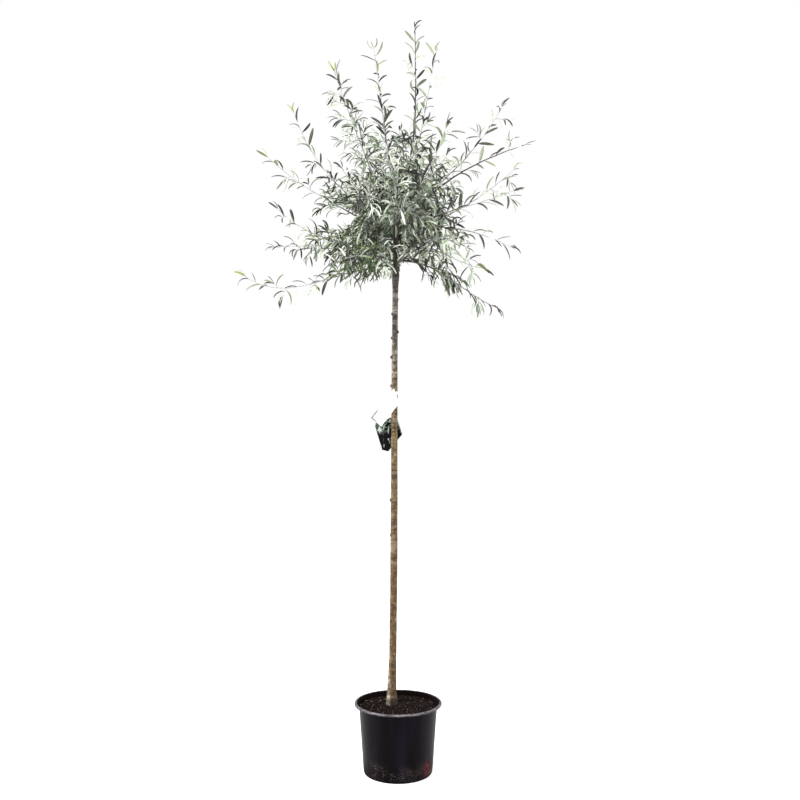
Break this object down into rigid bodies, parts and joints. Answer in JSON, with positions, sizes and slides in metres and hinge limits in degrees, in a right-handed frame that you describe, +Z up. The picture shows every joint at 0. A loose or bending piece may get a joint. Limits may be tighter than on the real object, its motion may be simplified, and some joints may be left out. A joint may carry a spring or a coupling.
{
  "type": "potted weeping pear",
  "caption": "Grafted weeping standard tree: slim clear trunk, open round head of long shoots with narrow silvery leaves, and a round black nursery pot of compost.",
  "frame": {"origin": "centre of the pot's flat underside, on the surface it stands on", "axes": "+Z up along the trunk, +X to the right and -Y towards the front of the plant as pictured"},
  "size_m": [1.0065, 0.912, 2.5132],
  "materials": {
    "pot": "worn satin black plastic, greyer at the rim",
    "compost": "damp crumbly compost",
    "bark": "smooth grey-brown bark",
    "foliage": "matt silvery grey-green leaves",
    "label": "plain semi-matt plastic"
  },
  "bodies": {
    "root": {"bough_back_high": "bark", "bough_back_left": "bark", "bough_back_low": "bark", "bough_back_right": "bark", "bough_front": "bark", "bough_front_left": "bark", "bough_front_left_low": "bark", "bough_front_right": "bark", "bough_front_right_low": "bark", "bough_leader": "bark", "bough_left": "bark", "bough_left_back": "bark", "bough_left_high": "bark", "bough_left_low": "bark", "bough_left_top": "bark", "bough_left_up": "bark", "bough_right": "bark", "bough_right_back": "bark", "bough_right_front": "bark", "bough_right_high": "bark", "bough_right_low": "bark", "bough_right_top": "bark", "bough_right_up": "bark", "bough_top_back": "bark", "compost": "compost", "foliage_back_high": "foliage", "foliage_back_left": "foliage", "foliage_back_low": "foliage", "foliage_back_right": "foliage", "foliage_front": "foliage", "foliage_front_left": "foliage", "foliage_front_left_low": "foliage", "foliage_front_right": "foliage", "foliage_front_right_low": "foliage", "foliage_leader": "foliage", "foliage_left": "foliage", "foliage_left_back": "foliage", "foliage_left_high": "foliage", "foliage_left_low": "foliage", "foliage_left_top": "foliage", "foliage_left_up": "foliage", "foliage_right": "foliage", "foliage_right_back": "foliage", "foliage_right_front": "foliage", "foliage_right_high": "foliage", "foliage_right_low": "foliage", "foliage_right_top": "foliage", "foliage_right_up": "foliage", "foliage_top_back": "foliage", "pot": "pot", "tag_card": "label", "tag_label": "label", "tag_loop": "label", "trunk": "bark"}
  },
  "joints": []
}
